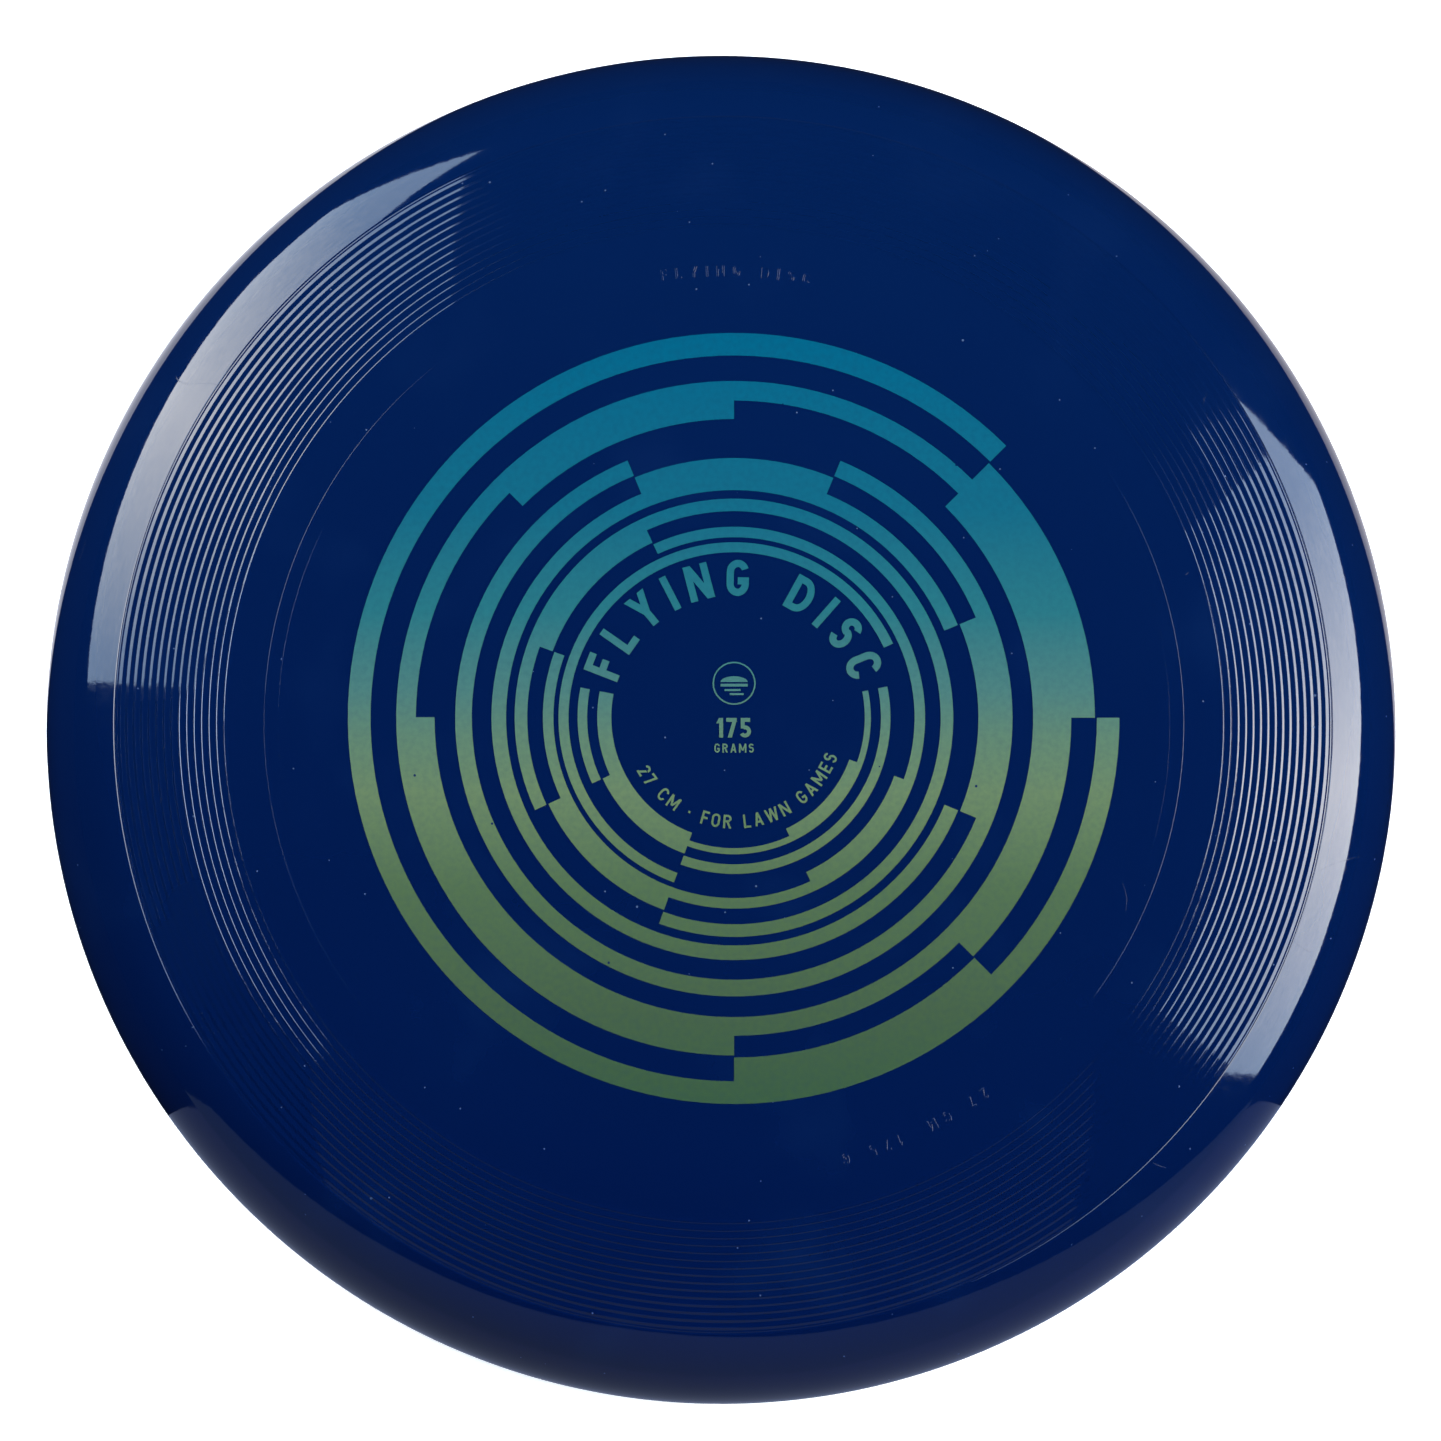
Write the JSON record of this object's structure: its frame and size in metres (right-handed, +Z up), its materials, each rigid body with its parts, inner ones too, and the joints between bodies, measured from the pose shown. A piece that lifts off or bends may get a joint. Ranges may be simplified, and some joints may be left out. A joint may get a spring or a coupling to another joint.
{
  "type": "flying disc",
  "caption": "Round moulded throwing disc with a rolled rim, concentric flight rings and foil-stamped arcs on a flat flight plate; open underneath.",
  "frame": {"origin": "on the spin axis, in the plane the rim stands on", "axes": "+Z up along the spin axis, out of the printed side; +Y towards the top of the printed title"},
  "size_m": [0.273, 0.273, 0.0321],
  "materials": {
    "disc_plastic": "glossy navy polyethylene, lightly scuffed",
    "foil": "hot-stamped foil, shading from teal at +Y to olive green at -Y"
  },
  "bodies": {
    "root": {"disc_body": "disc_plastic", "foil_ring_1": "foil", "foil_ring_2": "foil", "foil_ring_3": "foil", "foil_ring_4": "foil", "foil_ring_5": "foil", "foil_ring_6": "foil", "foil_ring_7": "foil", "foil_ring_8": "foil", "foil_ring_9": "foil", "foil_ring_10": "foil", "foil_badge": "foil", "foil_title": "foil", "foil_weight_figure": "foil", "foil_weight_unit": "foil", "foil_size_line": "foil"}
  },
  "joints": []
}
